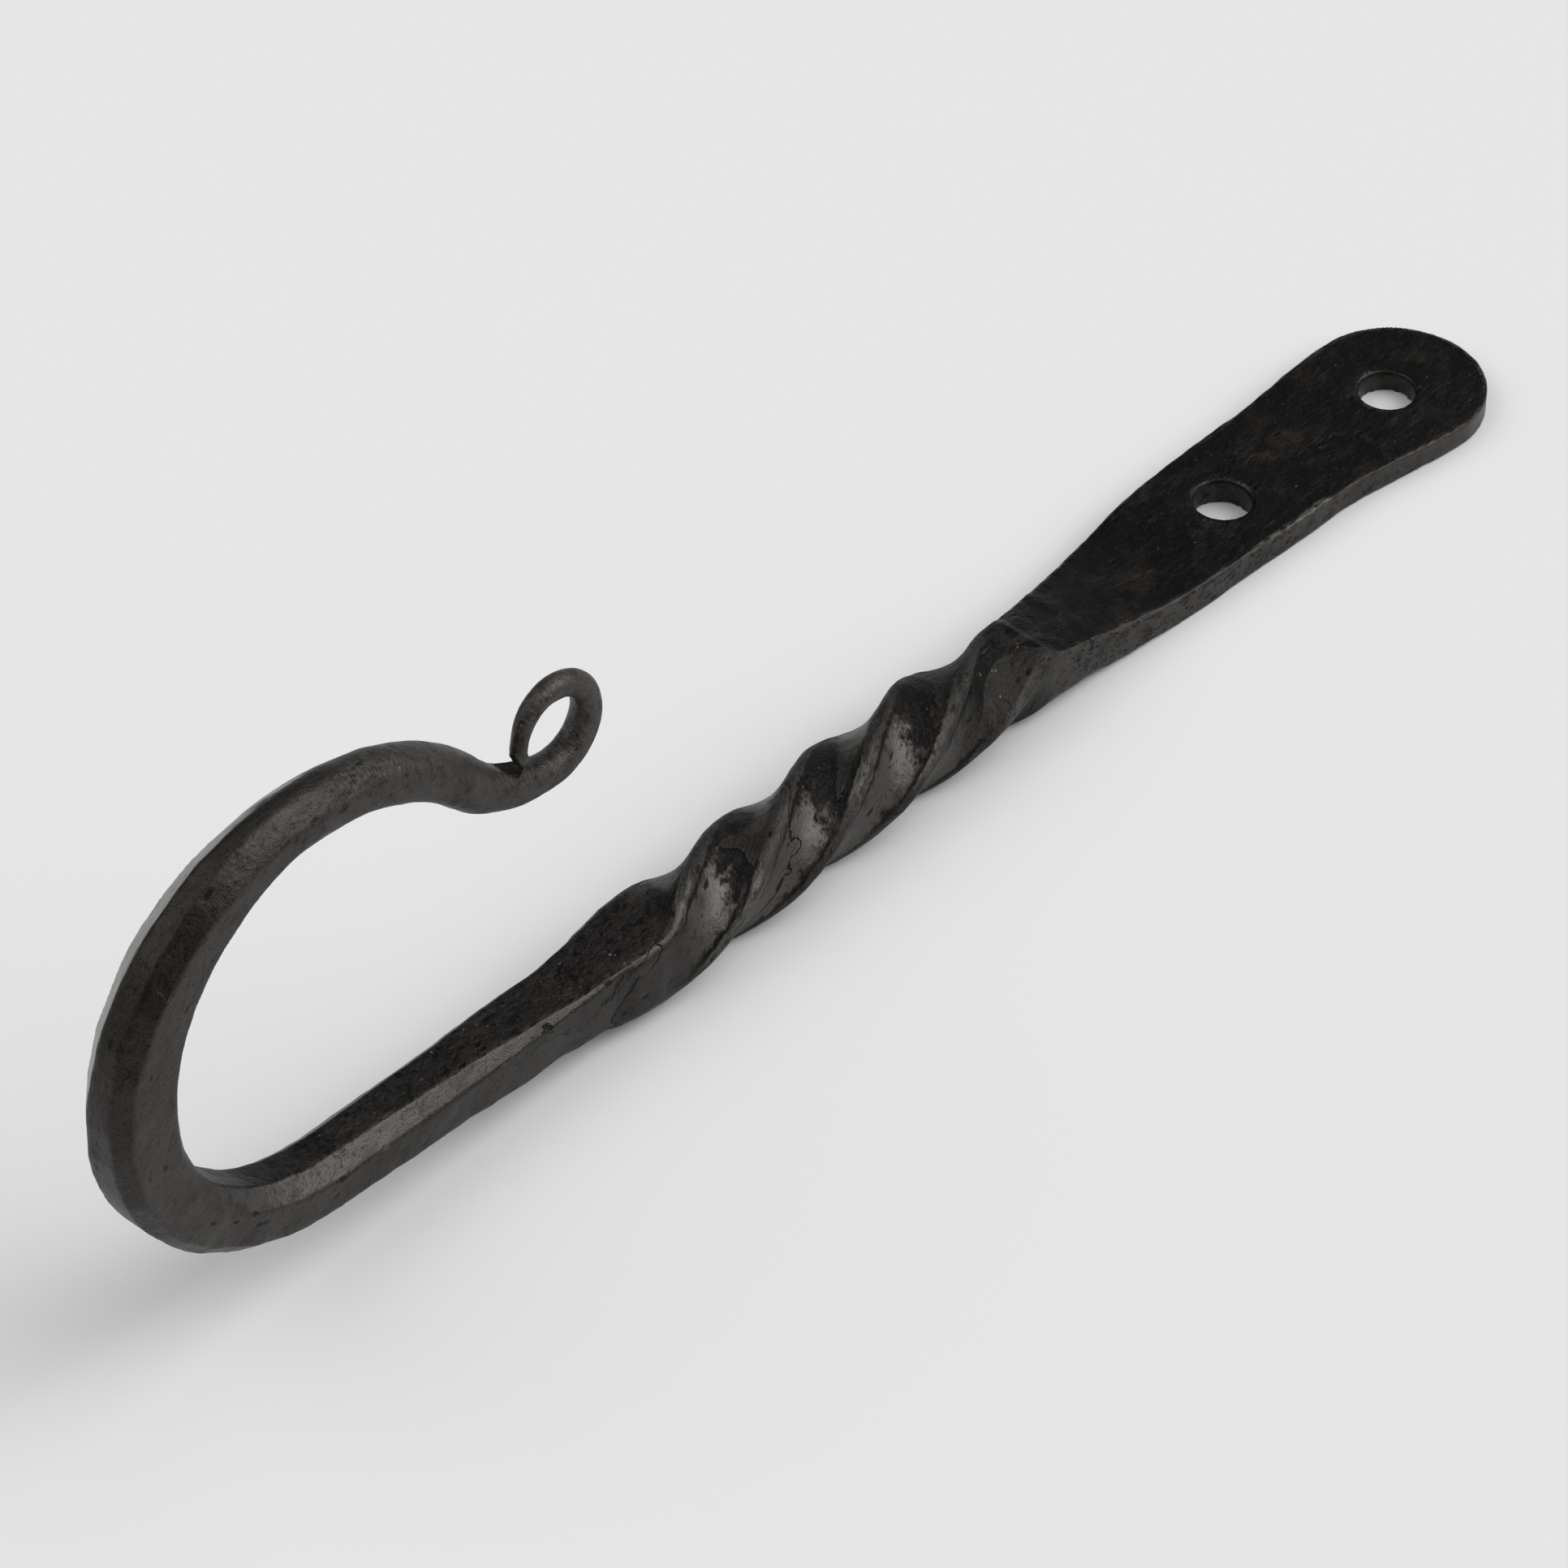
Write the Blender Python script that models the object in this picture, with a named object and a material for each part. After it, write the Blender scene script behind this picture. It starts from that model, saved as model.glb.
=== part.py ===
"""A wall hook forged from one square bar: a drawn-out mounting plate with two punched holes,
one full left-hand twist, a tapering shank, a round hook and a small eye rolled at its tip.

The hook lies on its back, as it is screwed to a wall: the wall is the plane z = 0, +Z points
away from the wall and +X runs up the wall, from the hook to the plate. The origin is on the
wall, halfway between the two screw holes.
"""

import math
from dataclasses import dataclass

import bmesh
import bpy
from mathutils import Matrix, Vector

# Driving dimensions, in metres and degrees.
BAR_SIDE = 0.0095  # the square bar that the hook is forged from
BAR_CORNER = 0.0016  # corner radius of the bar where it is twisted

PLATE_LENGTH = 0.0785  # from the plate's round end to the start of the twist
LOBE_RADIUS = 0.0107  # the plate's round end
NECK_WIDTH = 0.0179  # the plate just behind its round end
NECK_BEHIND_LOBE = 0.0194  # from the lobe's centre to that neck
TIP_THICKNESS = 0.0028
FLAT_THICKNESS = 0.0039  # where the plate's flat front face meets its shoulder
PLATE_CORNER = 0.0005
SHOULDER_LENGTH = 0.025  # where the plate thickens towards the bar
SHOULDER_THICKNESS = 0.0058
STEP_LENGTH = 0.008  # the last of the shoulder, which rises steeply to the bar's full side

HOLE_DIAMETER = 0.0068
HOLE_SPACING = 0.0286
HOLE_TO_LOBE_CENTRE = 0.0017
PLATE_SWAY = 0.0017  # how far the plate bows to one side between the twist and its round end
HOLE_RIM = 0.0003  # worn edge round each hole, on the front face

TWIST_LENGTH = 0.0643
TWIST_TURNS = 1.0
TWIST_EASE = 0.004  # the stretch over which the twist starts and stops

# The bar's centre line after the twist, as radii and turns of the arcs that follow each other.
LIFT_RADIUS = 0.127  # a slight bend that lifts the shank off the wall
LIFT_TURN = 5.0
SHANK_LENGTH = 0.0353
HEEL_RADIUS = 0.0270
HEEL_TURN = 60.7
BACK_RADIUS = 0.0257
BACK_TURN = 45.6
CROWN_RADIUS = 0.0235
CROWN_TURN = 72.0
FRONT_RADIUS = 0.0303
FRONT_TURN = 47.7
STEM_RADIUS = 0.0198
STEM_TURN = 42.0
EYE_RADIUS = 0.0053
EYE_TURN = 300.0  # at most: it stops short where its tip would touch the stem
TIP_GAP = 0.0003  # between the eye's tip and the stem that it closes on

# Across the flats, at the end of each of those arcs.
LIFT_SIDE = 0.0072
SHANK_SIDE = 0.0069
HEEL_SIDE = 0.0076
BACK_SIDE = 0.0074
CROWN_SIDE = 0.0066
FRONT_DIAMETER = 0.0058
STEM_DIAMETER = 0.0040
TIP_DIAMETER = 0.0018

STATION_STEP = 0.0014  # distance between cross-sections
ROUND_STEP = 6.0  # degrees between cross-sections on a tight bend
HOLE_SIDES = 40
OCTAGON = 0.2929  # a corner cut of this share of the side makes a regular octagon
ROUND = 0.5  # and this share, with rounded corners, makes a circle

# Places along the bar that follow from the sizes.
UPPER_HOLE_X = HOLE_SPACING / 2
LOWER_HOLE_X = -HOLE_SPACING / 2
LOBE_X = UPPER_HOLE_X + HOLE_TO_LOBE_CENTRE
NECK_X = LOBE_X - NECK_BEHIND_LOBE
TWIST_START_X = LOBE_X + LOBE_RADIUS - PLATE_LENGTH
TWIST_END_X = TWIST_START_X - TWIST_LENGTH
RIDGE_RADIUS = BAR_SIDE / math.sqrt(2) - BAR_CORNER * (math.sqrt(2) - 1)


@dataclass
class Section:
    """One cross-section of the bar. Width is along Y, depth is in the hook's own plane."""

    x: float
    y: float
    z: float
    heading: float  # degrees in the XZ plane: 180 runs down the wall, 90 away from it
    width: float
    depth: float
    corner: float  # how much of each side a corner takes
    roundness: float  # 0 for a flat chamfer, 1 for a round corner
    twist: float = 0.0  # degrees about the centre line

    def points(self):
        """The outline: three points at each corner, in order round the bar."""
        along = Vector((math.cos(math.radians(self.heading)), 0, math.sin(math.radians(self.heading))))
        across = Vector((0, 1, 0))
        outward = across.cross(along)
        turn = Matrix.Rotation(math.radians(self.twist), 3, along)
        centre = Vector((self.x, self.y, self.z))
        cut = min(self.corner, self.width / 2, self.depth / 2)
        middle = cut * (0.5 * (1 - self.roundness) + (1 - math.sqrt(0.5)) * self.roundness)
        found = []
        for side_sign, depth_sign in ((1, 1), (-1, 1), (-1, -1), (1, -1)):
            half_width, half_depth = self.width / 2, self.depth / 2
            corner = [
                (half_width, half_depth - cut),
                (half_width - middle, half_depth - middle),
                (half_width - cut, half_depth),
            ]
            if side_sign * depth_sign < 0:
                corner.reverse()
            for across_by, out_by in corner:
                offset = across * (across_by * side_sign) + outward * (out_by * depth_sign)
                found.append(centre + turn @ offset)
        return found


def smooth(share):
    """Eases a share of a stretch in and out, from 0 to 1."""
    share = min(1.0, max(0.0, share))
    return share * share * (3 - 2 * share)


def between(start, end, share):
    return start + (end - start) * share


def plate_half_width(x):
    """Half the plate's width: a taper from the bar to the neck, then a flare into the round end."""
    if x >= LOBE_X:
        return math.sqrt(max(0.0, LOBE_RADIUS**2 - (x - LOBE_X) ** 2))
    if x >= NECK_X:
        return between(NECK_WIDTH / 2, LOBE_RADIUS, smooth((x - NECK_X) / NECK_BEHIND_LOBE))
    share = (x - TWIST_START_X) / (NECK_X - TWIST_START_X)
    return between(BAR_SIDE / 2, NECK_WIDTH / 2, math.sin(share * math.pi / 2))


def plate_thickness(x):
    """An even slope from the tip, a gentle shoulder, then a steep rise to the bar."""
    run = x - TWIST_START_X
    tip_x = LOBE_X + LOBE_RADIUS
    slope = (FLAT_THICKNESS - TIP_THICKNESS) / (tip_x - TWIST_START_X - SHOULDER_LENGTH)
    flat = TIP_THICKNESS + slope * (tip_x - x)
    shoulder = between(flat, SHOULDER_THICKNESS, smooth(1 - run / SHOULDER_LENGTH))
    return between(shoulder, BAR_SIDE, smooth(1 - run / STEP_LENGTH))


def plate_sway(x):
    """Sideways offset of the plate's centre line."""
    share = (x - TWIST_START_X) / (LOBE_X - TWIST_START_X)
    return PLATE_SWAY * math.sin(math.pi * min(1.0, share))


def plate_back(x):
    """Height of the plate's back: on the wall, rising at the bar so that the twist clears it."""
    share = 1 - (x - TWIST_START_X) / (SHOULDER_LENGTH / 2)
    return smooth(share) * (RIDGE_RADIUS - BAR_SIDE / 2)


def plate_sections():
    """From the round end, where the sections crowd together to keep it round, to the twist."""
    quarter = 90 - ROUND_STEP / 3
    steps = round(quarter / ROUND_STEP)
    places = [LOBE_X + LOBE_RADIUS * math.sin(math.radians(quarter * (1 - i / steps))) for i in range(steps)]
    steps = math.ceil((LOBE_X - TWIST_START_X) / STATION_STEP / 1.5)
    places += [between(LOBE_X, TWIST_START_X, i / steps) for i in range(steps)]
    sections = []
    for x in places:
        thickness = plate_thickness(x)
        blend = smooth(1 - (x - TWIST_START_X) / SHOULDER_LENGTH)
        corner = between(PLATE_CORNER, BAR_CORNER, blend)
        width = 2 * plate_half_width(x)
        sections.append(
            Section(
                x,
                plate_sway(x),
                plate_back(x) + thickness / 2,
                180,
                width,
                thickness,
                min(corner, width / 3),
                1,
            )
        )
    return sections


def twist_at(distance):
    """Degrees of twist at a distance from its start: an even rate that eases in and out."""
    rate = TWIST_TURNS * 360 / (TWIST_LENGTH - TWIST_EASE)
    if distance < TWIST_EASE:
        return rate * distance**2 / TWIST_EASE / 2
    if distance > TWIST_LENGTH - TWIST_EASE:
        return TWIST_TURNS * 360 - rate * (TWIST_LENGTH - distance) ** 2 / TWIST_EASE / 2
    return rate * (distance - TWIST_EASE / 2)


def twist_sections():
    steps = math.ceil(TWIST_LENGTH / STATION_STEP)
    return [
        Section(
            TWIST_START_X - TWIST_LENGTH * i / steps,
            0,
            RIDGE_RADIUS,
            180,
            BAR_SIDE,
            BAR_SIDE,
            BAR_CORNER,
            1,
            -twist_at(TWIST_LENGTH * i / steps),
        )
        for i in range(steps)
    ]


@dataclass
class Stretch:
    """A stretch of the bar after the twist: a straight run, or an arc with a turn."""

    length: float
    turn: float
    side: float  # size at its end
    corner: float  # corner cut at its end, as a share of the side
    roundness: float


def arc(radius, turn, side, corner, roundness):
    return Stretch(math.radians(abs(turn)) * radius, turn, side, corner, roundness)


def hook_sections():
    """The shank, the hook and its stem, one stretch after another."""
    stretches = [
        arc(LIFT_RADIUS, -LIFT_TURN, LIFT_SIDE, 0.08, 0.6),
        Stretch(SHANK_LENGTH * 0.4, 0, between(LIFT_SIDE, SHANK_SIDE, 0.7), 0.14, 0.2),
        Stretch(SHANK_LENGTH * 0.6, 0, SHANK_SIDE, OCTAGON * 0.95, 0),
        arc(HEEL_RADIUS, -HEEL_TURN, HEEL_SIDE, OCTAGON, 0),
        arc(BACK_RADIUS, -BACK_TURN, BACK_SIDE, OCTAGON, 0),
        arc(CROWN_RADIUS, -CROWN_TURN, CROWN_SIDE, OCTAGON * 1.2, 0.4),
        arc(FRONT_RADIUS, -FRONT_TURN, FRONT_DIAMETER, ROUND, 1),
        arc(STEM_RADIUS, STEM_TURN, STEM_DIAMETER, ROUND, 1),
    ]
    x, z, heading = TWIST_END_X, RIDGE_RADIUS, 180.0
    side, corner, roundness = BAR_SIDE, BAR_CORNER / BAR_SIDE, 1.0
    sections = []
    for stretch in stretches:
        steps = math.ceil(max(stretch.length / STATION_STEP / 2, abs(stretch.turn) / ROUND_STEP))
        for i in range(steps):
            share = i / steps
            size = between(side, stretch.side, share)
            cut = size * between(corner, stretch.corner, share)
            shape = between(roundness, stretch.roundness, share)
            sections.append(Section(x, 0, z, heading, size, size, cut, shape))
            step = stretch.length / steps
            middle = math.radians(heading + stretch.turn / steps / 2)
            x += step * math.cos(middle)
            z += step * math.sin(middle)
            heading += stretch.turn / steps
        side, corner, roundness = stretch.side, stretch.corner, stretch.roundness
    sections.append(Section(x, 0, z, heading, side, side, side * corner, roundness))
    return sections


def clearance(section, others):
    """The least gap between a round section and earlier ones."""
    return min(
        math.hypot(section.x - other.x, section.z - other.z) - (section.width + other.width) / 2
        for other in others
    )


def eye_sections(stem):
    """The eye rolls on from the stem until its tip would touch it."""
    x, z, heading = stem[-1].x, stem[-1].z, stem[-1].heading
    steps = round(EYE_TURN / ROUND_STEP)
    turn = EYE_TURN / steps
    sections = []
    for i in range(1, steps + 1):
        middle = math.radians(heading + turn / 2)
        x += math.radians(turn) * EYE_RADIUS * math.cos(middle)
        z += math.radians(turn) * EYE_RADIUS * math.sin(middle)
        heading += turn
        size = between(STEM_DIAMETER, TIP_DIAMETER, i / steps)
        section = Section(x, 0, z, heading, size, size, size * ROUND, 1)
        if i > steps / 2 and clearance(section, stem) < TIP_GAP:
            break
        sections.append(section)
    return sections


def bar_sections():
    """Every section of the hook, from the plate's round end to the eye's tip."""
    sections = plate_sections() + twist_sections() + hook_sections()
    return sections + eye_sections(sections)


def iron():
    """Blackened wrought iron, oiled, with its forging scale left on."""
    material = bpy.data.materials.new("blackened_iron")
    material.use_nodes = True
    shader = material.node_tree.nodes["Principled BSDF"]
    shader.inputs["Base Color"].default_value = (0.035, 0.033, 0.031, 1)
    shader.inputs["Roughness"].default_value = 0.5
    shader.inputs["Metallic"].default_value = 0.7
    return material


def forged_bar():
    """The whole forging as one closed body, swept through its sections."""
    mesh = bmesh.new()
    rings = []
    for section in bar_sections():
        corners = [mesh.verts.new(point) for point in section.points()]
        rings.append([mesh.edges.new((corners[i - 1], corners[i])) for i in range(len(corners))])
    for ring, following in zip(rings, rings[1:]):
        bmesh.ops.bridge_loops(mesh, edges=ring + following)
    for end in (rings[0], rings[-1]):
        bmesh.ops.edgeloop_fill(mesh, edges=end)
    bmesh.ops.recalc_face_normals(mesh, faces=mesh.faces)
    data = bpy.data.meshes.new("forged_hook")
    mesh.to_mesh(data)
    mesh.free()
    data.shade_smooth()
    data.set_sharp_from_angle(angle=math.radians(35))
    bar = bpy.data.objects.new("forged_hook", data)
    bpy.context.collection.objects.link(bar)
    bar.data.materials.append(iron())
    return bar


def hole_cutter(name, x):
    """A drift the size of one screw hole, flared where the front face's edge is worn."""
    front = plate_thickness(x)
    beyond = TIP_THICKNESS
    radius = HOLE_DIAMETER / 2
    profile = [
        (0, -beyond),
        (radius, -beyond),
        (radius, front - HOLE_RIM),
        (radius + HOLE_RIM + beyond, front + beyond),
        (0, front + beyond),
    ]
    mesh = bmesh.new()
    points = [mesh.verts.new((across, 0, up)) for across, up in profile]
    edges = [mesh.edges.new(pair) for pair in zip(points, points[1:])]
    bmesh.ops.spin(
        mesh,
        geom=points + edges,
        cent=(0, 0, 0),
        axis=(0, 0, 1),
        angle=math.tau,
        steps=HOLE_SIDES,
        use_merge=True,
    )
    bmesh.ops.remove_doubles(mesh, verts=mesh.verts, dist=1e-6)
    bmesh.ops.recalc_face_normals(mesh, faces=mesh.faces)
    data = bpy.data.meshes.new(name)
    mesh.to_mesh(data)
    mesh.free()
    cutter = bpy.data.objects.new(name, data)
    cutter.location.x = x
    cutter.location.y = plate_sway(x)
    cutter.hide_render = True
    cutter.display_type = "WIRE"
    bpy.context.collection.objects.link(cutter)
    return cutter


def punch(bar, cutter):
    """Cuts a screw hole through the plate."""
    cut = bar.modifiers.new(cutter.name, "BOOLEAN")
    cut.operation = "DIFFERENCE"
    cut.solver = "EXACT"
    cut.object = cutter


def main():
    for leftover in list(bpy.data.objects):
        bpy.data.objects.remove(leftover)
    bar = forged_bar()
    punch(bar, hole_cutter("upper_hole", UPPER_HOLE_X))
    punch(bar, hole_cutter("lower_hole", LOWER_HOLE_X))


main()
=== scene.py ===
import math
import random
import bpy
import numpy as np
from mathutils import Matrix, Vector


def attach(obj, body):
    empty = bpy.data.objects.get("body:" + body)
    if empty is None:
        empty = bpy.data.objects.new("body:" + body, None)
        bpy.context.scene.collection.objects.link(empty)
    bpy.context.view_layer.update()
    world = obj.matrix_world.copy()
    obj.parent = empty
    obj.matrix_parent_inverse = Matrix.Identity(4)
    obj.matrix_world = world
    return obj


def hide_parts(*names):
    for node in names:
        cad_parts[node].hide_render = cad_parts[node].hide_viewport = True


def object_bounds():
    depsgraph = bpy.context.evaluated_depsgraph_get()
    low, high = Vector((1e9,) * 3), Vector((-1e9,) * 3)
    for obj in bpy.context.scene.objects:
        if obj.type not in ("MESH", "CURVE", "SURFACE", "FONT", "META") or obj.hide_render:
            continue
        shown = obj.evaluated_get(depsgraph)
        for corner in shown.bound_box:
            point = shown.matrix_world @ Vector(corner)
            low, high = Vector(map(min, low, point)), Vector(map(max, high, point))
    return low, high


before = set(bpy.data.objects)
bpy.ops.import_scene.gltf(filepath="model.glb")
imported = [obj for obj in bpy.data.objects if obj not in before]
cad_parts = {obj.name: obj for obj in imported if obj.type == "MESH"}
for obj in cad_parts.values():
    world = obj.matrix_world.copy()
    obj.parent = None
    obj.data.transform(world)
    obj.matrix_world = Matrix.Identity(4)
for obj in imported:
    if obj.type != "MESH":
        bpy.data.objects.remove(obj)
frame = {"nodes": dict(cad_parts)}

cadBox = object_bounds()
boxLow, boxHigh = Vector(cadBox[0]), Vector(cadBox[1])
print("frame loaded:", ", ".join(frame["nodes"]))


# Shader sums

class Wire:  # a socket that can be used in sums
    def __init__(self, tree, socket=None):
        self.tree = tree
        self.socket = socket

    def node(self, kind, settings=None, values=None, out=0):
        made = self.tree.nodes.new(kind)
        for name, value in (settings or {}).items():
            setattr(made, name, value)
        for name, value in (values or {}).items():
            socket = made.inputs[name]
            if isinstance(value, Wire):
                self.tree.links.new(value.socket, socket)
            else:
                socket.default_value = value
        return Wire(self.tree, made.outputs[out])

    def math(self, operation, first, second=None):
        values = {0: first}
        if second is not None:
            values[1] = second
        return self.node("ShaderNodeMath", {"operation": operation}, values)

    def __add__(self, other):
        return self.math("ADD", self, other)

    def __radd__(self, other):
        return self.math("ADD", other, self)

    def __sub__(self, other):
        return self.math("SUBTRACT", self, other)

    def __rsub__(self, other):
        return self.math("SUBTRACT", other, self)

    def __mul__(self, other):
        return self.math("MULTIPLY", self, other)

    def __rmul__(self, other):
        return self.math("MULTIPLY", other, self)

    def fade(self, low, high):  # 0 below low, 1 above high
        return self.node(
            "ShaderNodeMapRange",
            {"interpolation_type": "SMOOTHSTEP"},
            {"Value": self, "From Min": low, "From Max": high},
        )

    def clamp(self):
        return self.node("ShaderNodeClamp", {}, {"Value": self})


# Studio: floor, light and camera

studio = {
    "floorSize": 8.0,
    "floorGrey": (0.80, 0.80, 0.80, 1),
    "backdrop": 0.785,
    "airDim": 0.004,
    "softness": 9.0,  # higher is a smaller softbox
    # each softbox: turn round the hook and rise above the floor in degrees, and brightness
    "softboxes": [
        (42.0, 45.0, 4.3),  # right, the largest
        (87.0, 45.0, 0.7),  # right, behind
        (132.0, 45.0, 0.25),
        (-93.0, 45.0, 0.45),  # left, towards the bench
        (-138.0, 45.0, 1.6),
    ],
    "lightLevel": 0.965,
    "cameraTurn": -47.92,
    "cameraRise": 43.78,
    "cameraDistance": 0.7103,
    "cameraLens": 151.1,
    "aimFromCentre": (-0.0097, 0.0, -0.0177),
}


def fromTarget(target, turn, rise, distance):
    a, e = math.radians(turn), math.radians(rise)
    back = Vector((math.sin(a) * math.cos(e), -math.cos(a) * math.cos(e), math.sin(e)))
    return target + back * distance


def lookAt(thing, target):
    thing.rotation_euler = (target - thing.location).to_track_quat("-Z", "Y").to_euler()


def makeFloor():
    bpy.ops.object.select_all(action="DESELECT")
    bpy.ops.mesh.primitive_plane_add(size=studio["floorSize"], location=(boxLow.x / 2, 0, boxLow.z))
    floor = bpy.context.active_object
    floor.name = "paperFloor"
    bpy.ops.object.transform_apply(location=True, rotation=True, scale=True)
    paper = bpy.data.materials.new("whitePaper")
    paper.use_nodes = True
    shader = paper.node_tree.nodes["Principled BSDF"]
    shader.inputs["Base Color"].default_value = studio["floorGrey"]
    shader.inputs["Roughness"].default_value = 0.9
    shader.inputs["Specular IOR Level"].default_value = 0.1
    floor.data.materials.append(paper)


def makeLights():
    air = bpy.data.worlds.new("studioAir")
    air.use_nodes = True
    tree = air.node_tree
    bench = Wire(tree)
    ray = bench.node("ShaderNodeTexCoord", out="Generated")
    light = None
    for turn, rise, bright in studio["softboxes"]:
        towards = fromTarget(Vector((0, 0, 0)), turn, rise, 1.0)
        facing = bench.node(
            "ShaderNodeVectorMath", {"operation": "DOT_PRODUCT"}, {0: ray, 1: towards}, out="Value"
        )
        glow = bench.math("EXPONENT", (facing - 1) * studio["softness"]) * (bright * studio["lightLevel"])
        light = glow + studio["airDim"] if light is None else light + glow
    lit = bench.node("ShaderNodeBackground", {}, {"Strength": light}, out=0)
    pale = bench.node("ShaderNodeBackground", {}, {"Strength": studio["backdrop"]}, out=0)
    for wire in (lit, pale):
        wire.socket.node.inputs["Color"].default_value = (1, 1, 1, 1)
    seen = bench.node("ShaderNodeLightPath", out="Is Camera Ray")
    both = bench.node("ShaderNodeMixShader", {}, {0: seen, 1: lit, 2: pale})
    tree.links.new(both.socket, tree.nodes["World Output"].inputs["Surface"])
    bpy.context.scene.world = air


def makeCamera():
    target = (boxLow + boxHigh) / 2 + Vector(studio["aimFromCentre"])
    turn, rise, distance = studio["cameraTurn"], studio["cameraRise"], studio["cameraDistance"]
    bpy.ops.object.camera_add(location=fromTarget(target, turn, rise, distance))
    camera = bpy.context.active_object
    camera.name = "bench camera"
    camera.data.lens = studio["cameraLens"]
    camera.data.sensor_width = 36.0
    camera.data.clip_start = 0.05
    camera.data.clip_end = 20.0
    lookAt(camera, target)
    bpy.context.scene.camera = camera


makeFloor()
makeLights()
makeCamera()
bpy.context.scene.view_settings.view_transform = "Standard"
print("studio ready")


# The bar's centre line, from the plate's round end to the eye's tip

bar = {
    "tipX": 0.0267,  # the plate's round end
    "shoulderX": -0.0268,  # where the plate starts to thicken
    "twistX": -0.0518,  # where the twist starts
    "twistLength": 0.0643,
    "twistEase": 0.004,
    "plateMiddle": 0.0018,  # height of the plate's middle
    "barMiddle": 0.00606,  # height of the twisted bar's middle
    "side": 0.0095,
    "step": 0.00025,
    # radius, turn, and the size across the flats at the end of each stretch
    "bends": [
        (0.1270, -5.0, 0.0072),
        (None, 0.0353, 0.0069),
        (0.0270, -60.7, 0.0076),
        (0.0257, -45.6, 0.0074),
        (0.0235, -72.0, 0.0066),
        (0.0303, -47.7, 0.0058),
        (0.0198, 42.0, 0.0040),
        (0.0053, 276.0, 0.0019),
    ],
}


def walkBar():
    # every station: along, x, z, heading, twist, size; and where each stretch starts
    rows = []
    along, x, z, heading = 0.0, bar["tipX"], bar["plateMiddle"], math.pi
    twistEnd = bar["twistX"] - bar["twistLength"]
    rate = 2 * math.pi / (bar["twistLength"] - bar["twistEase"])
    while x > twistEnd:
        rise = min(1.0, max(0.0, (bar["shoulderX"] - x) / (bar["shoulderX"] - bar["twistX"])))
        z = bar["plateMiddle"] + (bar["barMiddle"] - bar["plateMiddle"]) * rise * rise
        run = min(bar["twistLength"], max(0.0, bar["twistX"] - x))
        if run < bar["twistEase"]:
            twist = rate * run**2 / bar["twistEase"] / 2
        elif run > bar["twistLength"] - bar["twistEase"]:
            twist = 2 * math.pi - rate * (bar["twistLength"] - run) ** 2 / bar["twistEase"] / 2
        else:
            twist = rate * (run - bar["twistEase"] / 2)
        rows.append((along, x, z, heading, -twist, bar["side"]))
        x -= bar["step"]
        along += bar["step"]
    marks = [along]
    size = bar["side"]
    for radius, turn, endSize in bar["bends"]:
        length = turn if radius is None else radius * math.radians(abs(turn))
        turned = 0.0 if radius is None else math.radians(turn)
        count = max(2, round(length / bar["step"]))
        for i in range(count):
            rows.append((along, x, z, heading, -2 * math.pi, size + (endSize - size) * i / count))
            middle = heading + turned / count / 2
            x += length / count * math.cos(middle)
            z += length / count * math.sin(middle)
            heading += turned / count
            along += length / count
        size = endSize
        marks.append(along)
    return np.array(rows), marks


stations, marks = walkBar()
twistStart = bar["tipX"] - bar["twistX"]
twistEnd, liftEnd, shankEnd, heelEnd, backEnd, crownEnd, frontEnd, stemEnd, eyeEnd = marks
print("centre line:", len(stations), "stations,", round(eyeEnd * 1000), "mm")


def nearestStation(points):
    nearest = np.empty(len(points), int)
    for start in range(0, len(points), 4000):
        block = points[start : start + 4000]
        gap = np.hypot(
            block[:, 0:1] - stations[None, :, 1],
            block[:, 2:3] - stations[None, :, 2],
        )
        nearest[start : start + 4000] = np.argmin(gap, axis=1)
    return nearest


def barFrame(points, nearest):
    # each point's place on the bar: along it, across it and outward, with the twist taken out
    start = stations[nearest]
    zero = np.zeros(len(points))
    gap = (points[:, 0] - start[:, 1]) * np.cos(start[:, 3])
    gap = gap + (points[:, 2] - start[:, 2]) * np.sin(start[:, 3])
    along = np.clip(start[:, 0] + gap, stations[0, 0], stations[-1, 0])
    x, z, heading, twist, size = (np.interp(along, stations[:, 0], stations[:, i]) for i in range(1, 6))
    tangent = np.stack([np.cos(heading), zero, np.sin(heading)], 1)
    outward = np.stack([np.sin(heading), zero, -np.cos(heading)], 1)
    across = np.stack([zero, zero + 1, zero], 1)
    turnedAcross = across * np.cos(twist)[:, None] - outward * np.sin(twist)[:, None]
    turnedOutward = outward * np.cos(twist)[:, None] + across * np.sin(twist)[:, None]
    offset = points - np.stack([x, zero, z], 1)
    return {
        "along": start[:, 0] + gap,
        "size": size,
        "tangent": tangent,
        "across": turnedAcross,
        "outward": turnedOutward,
        "u": (offset * turnedAcross).sum(1),
        "v": (offset * turnedOutward).sum(1),
    }


# The forging itself, from the CAD solid

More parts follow.
